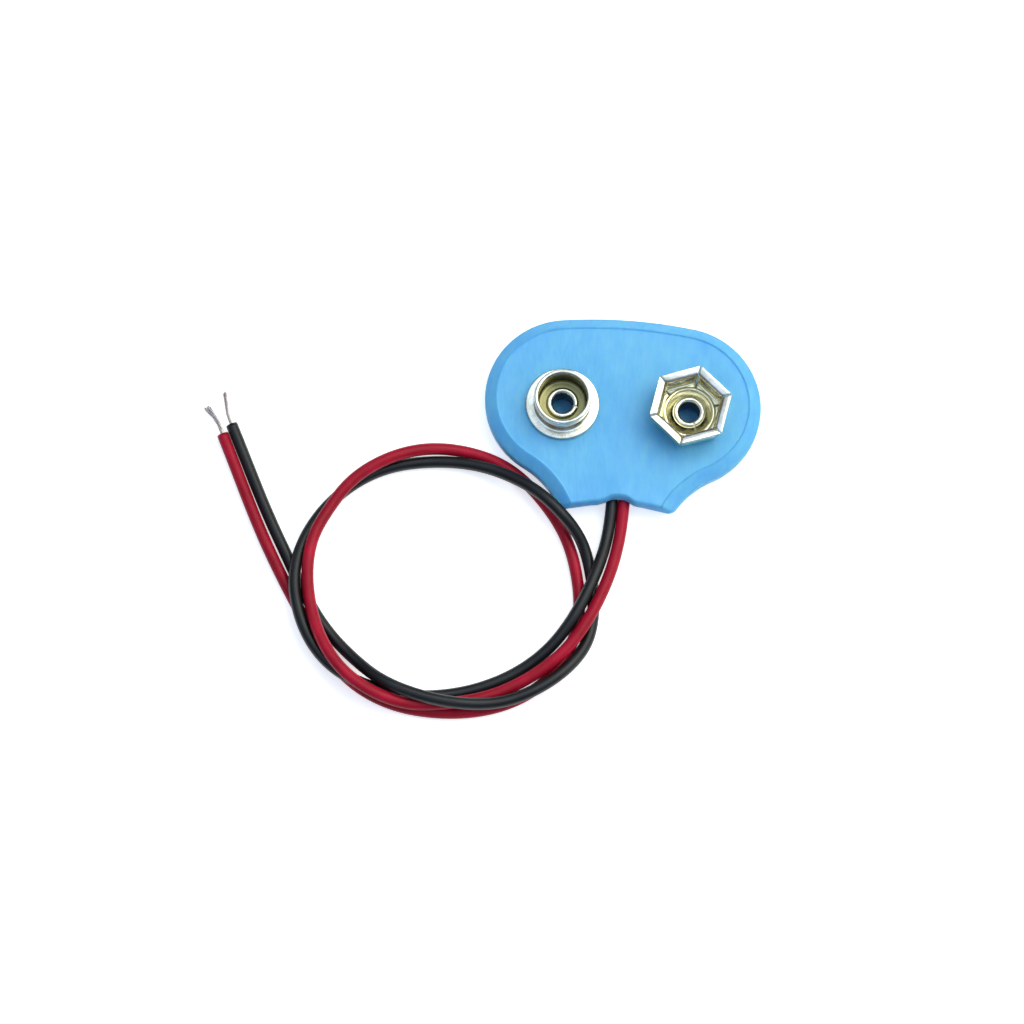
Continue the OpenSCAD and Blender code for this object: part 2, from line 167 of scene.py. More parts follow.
def vinyl():
    """Soft moulded vinyl: a satin sky blue, clouded a little, with the grain of the mould drawn out along y.

    The real grain is finer and is drawn as coarse as it needs to show. Blue light goes deepest into it.
    """
    cloud_mm, streak_mm, grain_mm, grain_depth_mm = 5.0, 0.55, 0.28, 0.06
    cloud_share, streak_share, base_tone = 0.55, 0.45, 0.22
    light_depth_mm = (0.1, 0.3, 1.2)
    mat, tree, shader = material("moulded soft vinyl, satin blue")
    place = add(tree, "ShaderNodeTexCoord").outputs["Object"]
    drawn = add(tree, "ShaderNodeMapping", {"Vector": place, "Scale": (1.0, 0.3, 1.0)}).outputs["Vector"]
    cloud = add(tree, "ShaderNodeTexNoise",
                {"Vector": place, "Scale": per_metre(cloud_mm), "Detail": 2.0, "Roughness": NOISE_ROUGH})
    streak = add(tree, "ShaderNodeTexNoise",
                 {"Vector": drawn, "Scale": per_metre(streak_mm), "Detail": 3.0, "Roughness": NOISE_ROUGH})
    clouded = add(tree, "ShaderNodeMath", {0: cloud.outputs["Fac"], 1: cloud_share, 2: base_tone},
                  operation="MULTIPLY_ADD")
    tone = add(tree, "ShaderNodeMath", {0: streak.outputs["Fac"], 1: streak_share, 2: clouded.outputs[0]},
               operation="MULTIPLY_ADD")
    colour = add(tree, "ShaderNodeValToRGB", {"Fac": tone.outputs[0]},
                 [(0.45, "#58b4f6"), (0.72, "#68c1f8"), (0.98, "#78cdf8")])
    tree.links.new(colour.outputs["Color"], shader.inputs["Base Color"])
    grain = add(tree, "ShaderNodeTexNoise",
                {"Vector": drawn, "Scale": per_metre(grain_mm), "Detail": 4.0, "Roughness": 0.6})
    bump = add(tree, "ShaderNodeBump",
               {"Height": grain.outputs["Fac"], "Strength": 0.35, "Distance": grain_depth_mm * MM})
    tree.links.new(bump.outputs["Normal"], shader.inputs["Normal"])
    shader.inputs["Roughness"].default_value = 0.5
    shader.inputs["Subsurface Weight"].default_value = 0.5
    shader.inputs["Subsurface Radius"].default_value = [depth * MM for depth in light_depth_mm]
    shader.inputs["Subsurface Scale"].default_value = 1.0
    return mat


def inside_cups(tree, place, reach, top):
    """1 deep inside either contact's cup and 0 outside, from the distance to its axis and the height.

    reach and top are the pairs of distances and heights, in millimetres, between which it goes from 0 to 1.
    """
    axes = add(tree, "ShaderNodeSeparateXYZ", {"Vector": place})
    x = add(tree, "ShaderNodeMath", {0: axes.outputs["X"]}, operation="ABSOLUTE")
    x = add(tree, "ShaderNodeMath", {0: x.outputs[0], 1: CONTACT_X * MM}, operation="SUBTRACT")
    away = add(tree, "ShaderNodeCombineXYZ", {"X": x.outputs[0], "Y": axes.outputs["Y"]})
    away = add(tree, "ShaderNodeVectorMath", {0: away.outputs[0]}, operation="LENGTH")
    near = add(tree, "ShaderNodeMapRange",
               {"Value": away.outputs["Value"], "From Min": reach[0] * MM, "From Max": reach[1] * MM})
    low = add(tree, "ShaderNodeMapRange",
              {"Value": axes.outputs["Z"], "From Min": top[0] * MM, "From Max": top[1] * MM})
    inside = add(tree, "ShaderNodeMath", {0: near.outputs[0], 1: low.outputs[0]}, operation="MULTIPLY")
    return inside.outputs[0]


def plated(name, dark, light, rough, ring_mm, tarnish_and_painted_light=None, reach=None, top=None):
    """Drawn sheet metal under plating: fine turned rings and a faint uneven tarnish.

    The real rings are finer and are drawn as coarse as they need to show. tarnish_and_painted_light is the
    colour mixed in deep inside the contacts' cups and bores: painted shade and painted reflection, with some
    tarnish, and reach and top say where it lies.
    """
    tarnish_mm, ring_depth_mm = 1.3, 0.03
    mat, tree, shader = material(name)
    place = add(tree, "ShaderNodeTexCoord").outputs["Object"]
    tarnish = add(tree, "ShaderNodeTexNoise",
                  {"Vector": place, "Scale": per_metre(tarnish_mm), "Detail": 4.0, "Roughness": NOISE_ROUGH})
    ramp = add(tree, "ShaderNodeValToRGB", {"Fac": tarnish.outputs["Fac"]}, [(0.32, dark), (0.62, light)])
    colour = ramp.outputs["Color"]
    # Painted shade and reflection: deep inside the cups and bores the colour goes over to the painted one.
    if tarnish_and_painted_light:
        inside = inside_cups(tree, place, reach, top)
        mixed = add(tree, "ShaderNodeMix", {"Factor": inside, 6: colour, 7: linear(tarnish_and_painted_light)}, data_type="RGBA")
        colour = mixed.outputs[2]
    tree.links.new(colour, shader.inputs["Base Color"])
    squashed = add(tree, "ShaderNodeMapping", {"Vector": place, "Scale": (0.25, 0.25, 3.0)})
    rings = add(tree, "ShaderNodeTexNoise",
                {"Vector": squashed.outputs["Vector"], "Scale": per_metre(ring_mm), "Detail": 3.0,
                 "Roughness": NOISE_ROUGH})
    uneven = add(tree, "ShaderNodeMapRange",
                 {"Value": rings.outputs["Fac"], "To Min": rough * 0.7, "To Max": rough * 1.5})
    tree.links.new(uneven.outputs["Result"], shader.inputs["Roughness"])
    bump = add(tree, "ShaderNodeBump",
               {"Height": rings.outputs["Fac"], "Strength": 0.25, "Distance": ring_depth_mm * MM})
    tree.links.new(bump.outputs["Normal"], shader.inputs["Normal"])
    shader.inputs["Metallic"].default_value = 1.0
    return mat


def insulation(name, dark, light, rough, gloss):
    """Extruded flexible insulation: a soft gloss with long faint draw lines, from the tube's own UV."""
    line_mm, line_depth_mm, cloud_mm = 0.5, 0.03, 3.0
    mat, tree, shader = material(name)
    uv = add(tree, "ShaderNodeUVMap", uv_map="along").outputs["UV"]
    long = add(tree, "ShaderNodeMapping", {"Vector": uv, "Scale": (0.12, 1.0, 1.0)}).outputs["Vector"]
    lines = add(tree, "ShaderNodeTexNoise",
                {"Vector": long, "Scale": per_metre(line_mm), "Detail": 3.0, "Roughness": NOISE_ROUGH})
    place = add(tree, "ShaderNodeTexCoord").outputs["Object"]
    cloud = add(tree, "ShaderNodeTexNoise",
                {"Vector": place, "Scale": per_metre(cloud_mm), "Detail": 2.0, "Roughness": NOISE_ROUGH})
    tone = add(tree, "ShaderNodeMath", {0: lines.outputs["Fac"], 1: cloud.outputs["Fac"]},
               operation="MULTIPLY")
    colour = add(tree, "ShaderNodeValToRGB", {"Fac": tone.outputs[0]}, [(0.14, dark), (0.4, light)])
    tree.links.new(colour.outputs["Color"], shader.inputs["Base Color"])
    bump = add(tree, "ShaderNodeBump",
               {"Height": lines.outputs["Fac"], "Strength": 0.3, "Distance": line_depth_mm * MM})
    tree.links.new(bump.outputs["Normal"], shader.inputs["Normal"])
    shader.inputs["Roughness"].default_value = rough
    shader.inputs["Specular IOR Level"].default_value = gloss
    return mat


def fibre():
    """Punched fibre board: matte brown with short flecks."""
    fleck_mm = 0.6
    mat, tree, shader = material("punched fibre board, brown")
    place = add(tree, "ShaderNodeTexCoord").outputs["Object"]
    flecks = add(tree, "ShaderNodeTexNoise",
                 {"Vector": place, "Scale": per_metre(fleck_mm), "Detail": 5.0, "Roughness": NOISE_ROUGH})
    colour = add(tree, "ShaderNodeValToRGB", {"Fac": flecks.outputs["Fac"]},
                 [(0.35, "#6d4c2e"), (0.65, "#9a734b")])
    tree.links.new(colour.outputs["Color"], shader.inputs["Base Color"])
    shader.inputs["Roughness"].default_value = 0.8
    return mat


# Tarnished and clean colour, roughness and the spacing of the turned rings.
BRIGHT_NICKEL = {"dark": "#d0cdb8", "light": "#eff0e6", "rough": 0.2, "ring_mm": 0.25}

VINYL = vinyl()
NICKEL = plated("drawn sheet, bright nickel plate", **BRIGHT_NICKEL)
# The stud's cup: darker olive deep inside, tarnish and painted shade with its dim reflections.
STUD = plated("drawn cup, nickel plate, tarnish and painted shade inside", **BRIGHT_NICKEL,
              tarnish_and_painted_light="#7c7954", reach=(2.62, 2.46), top=(5.7, 4.7))
# The socket's crown: a creamier colour on its inner walls and floor, a painted warm reflection.
SPRING = plated("drawn spring, nickel plate, painted warm reflection inside", **BRIGHT_NICKEL,
                tarnish_and_painted_light="#efeac6", reach=(3.8, 3.4), top=(5.6, 5.0))
# The eyelets: a dark colour down the bore, painted shade.
EYELET = plated("rolled eyelet, nickel plate, painted shade in its bore", **BRIGHT_NICKEL,
                tarnish_and_painted_light="#363840", reach=(1.2, 1.04), top=(3.6, 3.3))
SOLDER = plated("reflowed solder, dull silver", dark="#9a9fa3", light="#b9bdc0", rough=0.4, ring_mm=0.6)
TINNED = plated("tinned copper strand", dark="#b3a7a2", light="#dcd6d2", rough=0.3, ring_mm=0.3)
FIBRE = fibre()
BLACK = insulation("extruded insulation, black", dark="#090b0d", light="#1b1f21", rough=0.4, gloss=0.4)
RED = insulation("extruded insulation, red", dark="#980a22", light="#c01334", rough=0.45, gloss=0.22)


# Meshes

def grid_faces(rows, cols, start):
    """Quads between the closed rings of a grid of rows by cols points, numbered from start."""
    i, j = np.meshgrid(np.arange(rows - 1), np.arange(cols), indexing="ij")
    here, there = i * cols, (i + 1) * cols
    after = (j + 1) % cols
    quads = np.stack([here + j, here + after, there + after, there + j], axis=-1)
    return quads.reshape(-1, 4) + start


def weld(points, quads):
    """Merges points that coincide, makes triangles of quads that lost a side and drops those that lost more.

    Returns the numbers of the points that stay, and the faces.
    """
    _, kept, back = np.unique(np.round(points, 5), axis=0, return_index=True, return_inverse=True)
    quads = back.reshape(-1)[quads]
    lost = quads == np.roll(quads, 1, axis=1)
    count = lost.sum(axis=1)
    triangles = quads[count == 1][~lost[count == 1]].reshape(-1, 3)
    return kept, quads[count == 0].tolist() + triangles.tolist()


def piece(name, grids, mat, node, uv=None):
    """One smooth object from grids of points, rows x cols x 3, whose rows are closed rings, in millimetres.

    It stands for that node of the solids. uv gives each point's own UV place.
    """
    points, quads, start = [], [], 0
    for grid in grids:
        rows, cols = grid.shape[:2]
        points.append(grid.reshape(-1, 3))
        quads.append(grid_faces(rows, cols, start))
        start += rows * cols
    points, quads = np.concatenate(points), np.concatenate(quads)
    kept, faces = weld(points, quads)
    mesh = bpy.data.meshes.new(name)
    mesh.from_pydata((points[kept] * MM).tolist(), [], faces)
    if uv is not None:
        layer = mesh.uv_layers.new(name="along")
        index = np.empty(len(mesh.loops), dtype=np.int32)
        mesh.loops.foreach_get("vertex_index", index)
        layer.data.foreach_set("uv", uv[kept][index].astype(np.float32).ravel())
    mesh.polygons.foreach_set("use_smooth", np.ones(len(mesh.polygons), dtype=bool))
    mesh.update()
    mesh.materials.append(mat)
    obj = bpy.data.objects.new(name, mesh)
    bpy.context.collection.objects.link(obj)
    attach(obj, "root")
    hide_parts(node)
    return obj


def directions(line):
    """The unit step along a line at each of its points."""
    step = np.gradient(line, axis=0)
    return step / np.linalg.norm(step, axis=1)[:, None]


def curve_through(points, steps):
    """A smooth curve through all the points, steps between each two.

    Each two points are joined by a cubic. The tangent at a point weighs the slopes before and after it by
    the length of the other one, and the ends are mirrored (Catmull-Rom by chord length).
    """
    p = np.asarray(points, float)
    q = np.vstack([2 * p[0] - p[1], p, 2 * p[-1] - p[-2]])
    gap = np.linalg.norm(np.diff(q, axis=0), axis=1)[:, None]
    slope = np.diff(q, axis=0) / gap
    tangent = (slope[:-1] * gap[1:] + slope[1:] * gap[:-1]) / (gap[:-1] + gap[1:])
    t = (np.arange(steps) / steps)[None, :, None]
    leave = (tangent[:-1] * gap[1:-1])[:, None]
    arrive = (tangent[1:] * gap[1:-1])[:, None]
    straight = p[:-1, None] + (p[1:] - p[:-1])[:, None] * t ** 2 * (3 - 2 * t)
    bent = straight + leave * t * (1 - t) ** 2 - arrive * t ** 2 * (1 - t)
    return np.vstack([bent.reshape(-1, p.shape[1]), p[-1]])


def rounded(corners, radii, steps):
    """A line through corners, each eased by a parabola from its radius before it to its radius after it."""
    p = np.asarray(corners, float)
    out = [p[:1]]
    t = np.linspace(0, 1, steps + 1)[:, None]
    for n in range(1, len(p) - 1):
        before, after = p[n - 1] - p[n], p[n + 1] - p[n]
        a = p[n] + before / np.linalg.norm(before) * radii[n]
        b = p[n] + after / np.linalg.norm(after) * radii[n]
        out.append((1 - t) ** 2 * a + 2 * t * (1 - t) * p[n] + t ** 2 * b)
    out.append(p[-1:])
    return np.vstack(out)


# The rings that close a tube's end, as shares of its radius: how wide they are and how far they are sunk.
CAP_WIDTH = np.array([0.0, 0.8, 0.96])
CAP_SINK = np.array([0.0, 0.0, 0.05])


def tube(path, radius, sides):
    """A round tube: circles of that radius carried along the path, on a frame kept level with the floor.

    The ends are closed by rings that shrink to the axis, with a faint groove inside the cut edge.
    Returns the grid of points and each point's length along and round the tube, in metres.
    """
    step = directions(path)
    side = np.cross([0, 0, 1.0], step)
    side /= np.linalg.norm(side, axis=1)[:, None]
    up = np.cross(step, side)
    sink = CAP_SINK[:, None] * radius
    line = np.vstack([path[0] + step[0] * sink, path, path[-1] - step[-1] * sink[::-1]])
    ends = ((len(CAP_SINK), len(CAP_SINK)), (0, 0))
    side, up = np.pad(side, ends, "edge"), np.pad(up, ends, "edge")
    girth = radius * np.concatenate([CAP_WIDTH, np.ones(len(path)), CAP_WIDTH[::-1]])
    angle = np.linspace(0, 2 * np.pi, sides, endpoint=False) - np.pi / 2
    circle = np.cos(angle)[:, None] * side[:, None] + np.sin(angle)[:, None] * up[:, None]
    grid = line[:, None] + girth[:, None, None] * circle
    run = np.concatenate([[0], np.cumsum(np.linalg.norm(np.diff(line, axis=0), axis=1))])
    uv = np.stack(np.broadcast_arrays(run[:, None], np.abs(angle) * radius), axis=-1) * MM
    return grid, uv.reshape(-1, 2)


# Leads: the same points as the solids' routes, from the tag inside the cover to the cut end

BLACK_ROUTE = [
    (-2.673, -3.677, 1.3), (-1.542, -4.808, 1.3),
    (-0.78, -7.0, 1.3), (-0.7, -9.8, 1.3), (-0.85, -12.4, 0.9), (-1.35, -15.2, 1.6),
    (-2.2, -18.0, 1.9), (-3.6, -21.3, 1.9), (-5.8, -24.6, 1.2), (-9.0, -27.3, 0.6),
    (-12.8, -29.2, 0.6), (-16.8, -30.2, 0.7), (-20.6, -30.4, 1.4), (-23.5, -29.8, 1.75),
    (-26.4, -28.7, 1.9), (-29.0, -26.4, 1.8), (-30.8, -23.2, 1.8), (-31.65, -19.6, 1.95),
    (-31.3, -16.1, 1.3), (-29.95, -12.8, 0.6), (-27.9, -10.2, 0.6), (-24.1, -7.5, 0.6),
    (-19.0, -6.25, 0.6), (-14.2, -6.45, 1.15), (-10.6, -7.7, 2.0), (-7.65, -9.5, 3.0),
    (-5.35, -11.5, 2.95), (-3.4, -13.5, 1.4), (-2.3, -16.6, 0.6), (-1.75, -20.2, 0.6),
    (-2.1, -23.6, 0.7), (-3.7, -26.3, 1.5), (-6.5, -28.8, 1.9), (-10.2, -30.6, 2.0),
    (-14.2, -31.1, 2.65), (-18.0, -30.7, 2.9), (-21.8, -29.5, 2.75), (-24.7, -27.4, 1.2),
    (-27.5, -24.9, 0.6), (-33.5, -15.6, 0.6), (-39.5, -3.9, 0.6)]
RED_ROUTE = [
    (2.673, -3.677, 1.3), (1.542, -4.808, 1.3),
    (0.6, -7.0, 1.3), (0.5, -9.8, 1.3), (0.37, -12.4, 0.9), (-0.05, -15.2, 1.2),
    (-0.85, -18.2, 1.9), (-2.15, -21.4, 1.9), (-4.2, -24.8, 1.9), (-7.6, -27.8, 1.4),
    (-11.4, -29.9, 1.3), (-15.5, -31.0, 1.55), (-19.4, -31.4, 2.0), (-23.1, -30.5, 2.85),
    (-26.0, -28.7, 3.1), (-28.2, -25.9, 2.8), (-29.7, -22.4, 2.0), (-30.4, -18.8, 2.0),
    (-30.15, -15.2, 2.0), (-28.85, -12.2, 1.7), (-27.0, -9.3, 1.9), (-24.2, -7.0, 1.9),
    (-20.0, -5.2, 1.4), (-15.4, -5.0, 0.6), (-11.2, -6.4, 0.6), (-7.8, -9.3, 0.6),
    (-4.95, -13.2, 0.6), (-3.7, -16.8, 0.6), (-3.15, -20.5, 0.6), (-3.75, -24.3, 0.6),
    (-5.7, -27.6, 0.6), (-8.9, -30.1, 0.6), (-12.8, -31.45, 0.6), (-16.8, -31.8, 0.6),
    (-20.8, -31.35, 0.6), (-24.4, -29.85, 0.6), (-27.4, -27.3, 0.6), (-30.1, -23.7, 0.6),
    (-34.1, -17.3, 0.6), (-40.3, -5.0, 0.6)]
BLACK_BARE = [(-39.5, -3.9, 0.6), (-40.0, -2.8, 0.55), (-40.3, -1.6, 0.45), (-40.6, -0.4, 0.3)]
RED_BARE = [(-40.3, -5.0, 0.6), (-40.7, -4.1, 0.55), (-41.3, -3.2, 0.45), (-42.3, -2.1, 0.3)]

# The wires of a bare end: how many are wound round the middle one, and how many steps each one ends short.
WOUND_WIRES = 6
WIRE_SHORT = (0, 1, 0, 2, 1, 0, 1)
LEAD_SIDES, WIRE_SIDES = 20, 8


def lead_line(route, step=0.3, reach=1.2):
    """The lead's centre line in even steps: the curve through its route, nowhere below its radius.

    A bell-shaped mean of that reach along the line takes out the last kinks, as the lead's stiffness does.
    The ends stay in place.
    """
    line = curve_through(route, 24)
    line[:, 2] = np.maximum(line[:, 2], LEAD_D / 2)
    run = np.concatenate([[0], np.cumsum(np.linalg.norm(np.diff(line, axis=0), axis=1))])
    at = np.linspace(0, run[-1], round(run[-1] / step) + 1)
    line = np.column_stack([np.interp(at, run, line[:, k]) for k in range(3)])
    n = round(4 * reach / step)
    bell = np.exp(-0.5 * (np.arange(-n, n + 1) * step / reach) ** 2)
    bell /= bell.sum()
    longer = np.vstack([2 * line[0] - line[n:0:-1], line, 2 * line[-1] - line[-2:-n - 2:-1]])
    return np.column_stack([np.convolve(longer[:, k], bell, "valid") for k in range(3)])


def strands(bare, thickness, spread, turns):
    """Seven fine wires: six wound round the bare end's line and one along it.

    A wound wire lies about its thickness from the line and opens with the cube of the way along, by its own
    share of the spread.
    """
    line = curve_through(bare, 10)
    t = np.linspace(0, 1, len(line))
    step = directions(line)
    side = np.cross(step, [0, 0, 1.0])
    side /= np.linalg.norm(side, axis=1)[:, None]
    up = np.cross(side, step)
    wires = []
    for k, short in enumerate(WIRE_SHORT):
        wire = line
        if k < WOUND_WIRES:
            turn = 2 * np.pi * (turns * t + k / WOUND_WIRES)
            share = 0.4 + 0.6 * math.sin(1 + 2.3 * k) ** 2
            away = thickness * 1.02 + spread * share * t ** 3
            wire = line + away[:, None] * (np.cos(turn)[:, None] * side + np.sin(turn)[:, None] * up)
        grid, _ = tube(wire[:len(line) - short], thickness / 2, WIRE_SIDES)
        wires.append(grid)
    return wires


# The last three numbers: how thick a lead's wires are, how far they open at the tip and how often they turn.
for name, route, bare, mat, wire, spread, turns in (
        ("black", BLACK_ROUTE, BLACK_BARE, BLACK, 0.12, 0.02, 0.9),
        ("red", RED_ROUTE, RED_BARE, RED, 0.15, 0.16, 0.6)):
    line = lead_line(route)
    grid, uv = tube(line, LEAD_D / 2, LEAD_SIDES)
    lead = piece(f"{name}_insulated_lead", [grid], mat, f"{name}_lead", uv)
    ends = piece(f"{name}_bare_strands", strands(bare, wire, spread, turns), TINNED,
                 f"{name}_strands")


# Covers

# The outline's arcs, as in the solids: round ends, upper edge and hollow flanks.
LOBE_R, LOBE_Y = 8.35, 0.9
UPPER_R, FLANK_R, NECK_W = 49.0, 9.0, 9.4
LOBE_C = np.array([COVER_W / 2 - LOBE_R, LOBE_Y])
UPPER_C = np.array([0, LOBE_Y - math.sqrt((UPPER_R - LOBE_R) ** 2 - LOBE_C[0] ** 2)])
FLANK_X = NECK_W / 2 + FLANK_R
FLANK_C = np.array([FLANK_X, LOBE_Y - math.sqrt((LOBE_R + FLANK_R) ** 2 - (FLANK_X - LOBE_C[0]) ** 2)])

# The mouth, its corners and the pair of leads in it.
MOUTH_Y, MOUTH_R, MOUTH_SHIFT, MOUTH_UNDER = -9.8, 20.0, 0.6, 0.25
MOUTH_SCOOP, SCOOP_W = 0.55, 1.3
MOUTH_EDGE_Z, MOUTH_ROUND = 2.2, 0.5
MOUTH_OUT_X = (1.8, 2.2, 2.6)
CORNER_R, CORNER_LEAST, CORNER_STEPS = 0.9, 0.25, 8
PAIR_X = -0.1

# The soft face: its lift over the leads, the pinch round each contact and its waves.
FACE_LIFT, LIFT_W, LIFT_FROM_Y, LIFT_RUN = 0.16, 1.4, -6.4, 2.8
PINCH, PINCH_R, PINCH_W = 0.1, 3.4, 1.6
LONG_WAVE, SHORT_WAVE = 0.02, 0.012

# The rim's section: how far its top falls off outwards, where the face begins, and each corner's rounding.
RIM_FALL = 0.04
FACE_IN = RIM_W + 0.5
RIM_ROUNDS = (0, 0.22, 0.09, 0.05, 0.06, 0)

# How far in the mouth's edge lies where the rim lies that far in at the sides.
RIM_IN = (0, 0.1, 0.6, RIM_W - LIP_W, RIM_W, RIM_W + LIP_W, FACE_IN)
MOUTH_IN = (0, 0.03, 0.1, 0.2, 0.3, 0.42, 0.8)

# The rear tray: distances in from the outline and heights of its flat, its knee and its upper edge.
TRAY_FLAT_IN, TRAY_FOOT_IN, TRAY_KNEE_IN, TRAY_TOP_IN = 2.4, 1.35, 0.95, 0.35
TRAY_KNEE_Z, TRAY_TOP_H = 0.24, 0.1
TRAY_MOUTH_IN = (0.7, 0.35, 0.35)
TRAY_ROUNDS = (0, 0.2, 0.15, 0.08, 0)
TRAY_MIDDLE_Y = -0.5


def bearing(a, b):
    """Direction from a to b, in radians."""
    return math.atan2(b[1] - a[1], b[0] - a[0])


def arc(centre, r, a0, a1, n, first=0):
    """n steps of an arc from angle a0 to a1, leaving out the first points if asked."""
    a = np.linspace(a0, a1, n + 1)[first:]
    return centre + r * np.stack([np.cos(a), np.sin(a)], axis=1)


def crossing(c0, r0, c1, r1):
    """Where two circles cross, on the left of the line from the first centre to the second."""
    d = np.linalg.norm(c1 - c0)
    u = (c1 - c0) / d
    along = (r0 * r0 - r1 * r1 + d * d) / (2 * d)
    return c0 + along * u + math.sqrt(r0 * r0 - along * along) * np.array([-u[1], u[0]])


def half_outline(d, m, side):
    """One half of the cover's outline, drawn as a right half, its sides drawn in by d and its mouth by m.

    Mouth arc, rounded corner, hollow flank, round end and upper edge follow each other, each tangent to
    the next. The mouth's arc lies off the centre line and draws back over the leads.
    Returns the points, and each one's rise in the arch over the leads and share in the mouth, from 0 to 1.
    """
    corner = max(CORNER_R - d, CORNER_LEAST)
    mid, r = np.array([side * MOUTH_SHIFT, MOUTH_Y - MOUTH_R]), MOUTH_R + m
    k = crossing(mid, r + corner, FLANK_C, FLANK_R + d + corner)
    pair = side * (PAIR_X - COVER_X)
    flat = LEAD_D / 2 + pair
    a = np.linspace(0, np.pi / 2, 9)
    x = np.concatenate([np.linspace(0, flat, 6)[:-1], flat + TUNNEL_R * np.sin(a), MOUTH_OUT_X])
    rise = np.concatenate([np.ones(5), np.cos(a), np.zeros(len(MOUTH_OUT_X))])
    flank_a = bearing(FLANK_C, LOBE_C)
    upper_a = bearing(UPPER_C, LOBE_C)
    sides = np.vstack([
        arc(k, corner, bearing(k, mid), bearing(k, FLANK_C), CORNER_STEPS),
        arc(FLANK_C, FLANK_R + d, bearing(FLANK_C, k), flank_a, 24, 1),
        arc(LOBE_C, LOBE_R - d, flank_a - np.pi, upper_a, 72, 1),
        arc(UPPER_C, UPPER_R - d, upper_a, np.pi / 2, 14, 1)])
    scoop = MOUTH_SCOOP * np.exp(-((x - pair) / SCOOP_W) ** 4)
    mouth = np.stack([x, mid[1] + np.sqrt(r ** 2 - (x - mid[0]) ** 2) + scoop], axis=1)
    turn = np.clip(1 - np.arange(len(sides)) / CORNER_STEPS, 0, 1)
    share = np.concatenate([np.ones(len(x)), turn * turn * (3 - 2 * turn)])
    return np.vstack([mouth, sides]), np.concatenate([rise, np.zeros(len(sides))]), share


def ring(d, m, z, lift=0.0, mouth_z=None):
    """The whole outline as a ring of points at height z, raised by lift where the leads pass.

    mouth_z is the ring's height along the mouth, where that differs.
    """
    right, rise, share = half_outline(d, m, 1)
    left, left_rise, left_share = half_outline(d, m, -1)
    both = np.vstack([right, left[-2:0:-1] * [-1, 1]])
    rise = np.concatenate([rise, left_rise[-2:0:-1]])
    share = np.concatenate([share, left_share[-2:0:-1]])
    height = z if mouth_z is None else z + (mouth_z - z) * share
    return np.column_stack([both[:, 0] + COVER_X, both[:, 1], height + lift * rise])


def face_height(x, y):
    """Height of the soft face: lifted over the leads at the mouth, pinched round each contact, uneven.

    The lift is a bell across the leads times the square of the way to the mouth, each pinch is a bell round
    its contact's edge, and the waves are a product of sines and one slanting sine.
    """
    to_mouth = np.clip((LIFT_FROM_Y - y) / LIFT_RUN, 0, 1)
    over = FACE_LIFT * np.exp(-((x - PAIR_X) / LIFT_W) ** 2) * to_mouth ** 2
    edges = [np.hypot(x - side * CONTACT_X, y) - PINCH_R for side in (-1, 1)]
    pinch = -PINCH * sum(np.exp(-(edge / PINCH_W) ** 2) for edge in edges)
    long_wave = LONG_WAVE * np.sin(0.9 * x + 0.4) * np.cos(0.7 * y)
    return over + pinch + long_wave + SHORT_WAVE * np.sin(2.1 * x + 1.3 * y)


def half_loop(full, side, on_face):
    """One half of a ring, from the mouth's middle over its side to the upper edge and down the centre line.

    On the face the centre line follows the face's height.
    """
    n = len(full) // 2 + 1
    half = full[:n] if side > 0 else np.vstack([full[:1], full[:n - 2:-1]])
    t = np.linspace(0, 1, 26)[1:-1, None]
    middle = half[-1] * (1 - t) + half[0] * t
    if on_face:
        middle[:, 2] = FACE_Z + face_height(middle[:, 0], middle[:, 1])
    return np.vstack([half, middle])


def spokes(loop, centre, shares):
    """Flat rings between the loop and the hole of the contact at centre, each that share of the way in."""
    away = loop[:, :2] - centre
    hole = centre + HOLE_R * away / np.linalg.norm(away, axis=1)[:, None]
    t = shares[:, None, None]
    return loop[:, :2] * (1 - t) + hole * t


def front_cover():
    """Vinyl front: rings of the outline carried up the edge, over the sloping rim and its lip, and the face.

    Along the mouth the lip gives way to a plain rounding, a quarter of an ellipse.
    Each half of the face is a grid between the inner ring and the hole of its contact, and returns under
    the sheet.
    """
    section = rounded(
        [(0, SEAM_Z), (0, EDGE_Z), (RIM_W - LIP_W, RIM_Z - RIM_FALL), (RIM_W, RIM_Z),
         (RIM_W + LIP_W, FACE_Z), (FACE_IN, FACE_Z)], RIM_ROUNDS, 5)
    mouth_in = np.interp(section[:, 0], RIM_IN, MOUTH_IN)
    to_edge = np.clip(1 - mouth_in / MOUTH_ROUND, 0, 1)
    mouth_z = MOUTH_EDGE_Z + (FACE_Z - MOUTH_EDGE_Z) * np.sqrt(1 - to_edge ** 2)
    rows = [ring(SEAM_W, SEAL_LEN, FACE_UNDER_Z), ring(SEAM_W, SEAL_LEN, SEAM_Z, TUNNEL_R)]
    for n, (d, z) in enumerate(section):
        loop = ring(d, MOUTH_UNDER, z, TUNNEL_R) if n == 0 else ring(d, mouth_in[n], z, 0, mouth_z[n])
        soft = np.clip((loop[:, 2] - EDGE_Z) / (FACE_Z - EDGE_Z), 0, 1)
        loop[:, 2] += face_height(loop[:, 0], loop[:, 1]) * soft
        rows.append(loop)
    grids = [np.stack(rows)]
    for side in (-1, 1):
        centre = np.array([side * CONTACT_X, 0])
        outer, under = half_loop(rows[-1], side, True), half_loop(rows[0], side, False)
        upper = spokes(outer, centre, np.linspace(0, 1, 34))
        upper = np.dstack([upper, FACE_Z + face_height(upper[..., 0], upper[..., 1])])
        upper[0] = outer
        lower = spokes(under, centre, np.linspace(1, 0, 4))
        lower = np.dstack([lower, np.full(lower.shape[:2], FACE_UNDER_Z)])
        half = np.concatenate([upper, lower])
        grids.append(half if side > 0 else half[:, ::-1])
    piece("front_vinyl", grids, VINYL, "front_cover")


def shrunk(loop, z):
    """Rings that shrink in four steps from the loop to one point in its middle, at height z."""
    middle = np.array([COVER_X, TRAY_MIDDLE_Y])
    shares = np.array([0.75, 0.5, 0.25, 0.0])[:, None, None]
    flat = (loop[:, :2] - middle) * shares + middle
    return np.dstack([flat, np.full(flat.shape[:2], z)])


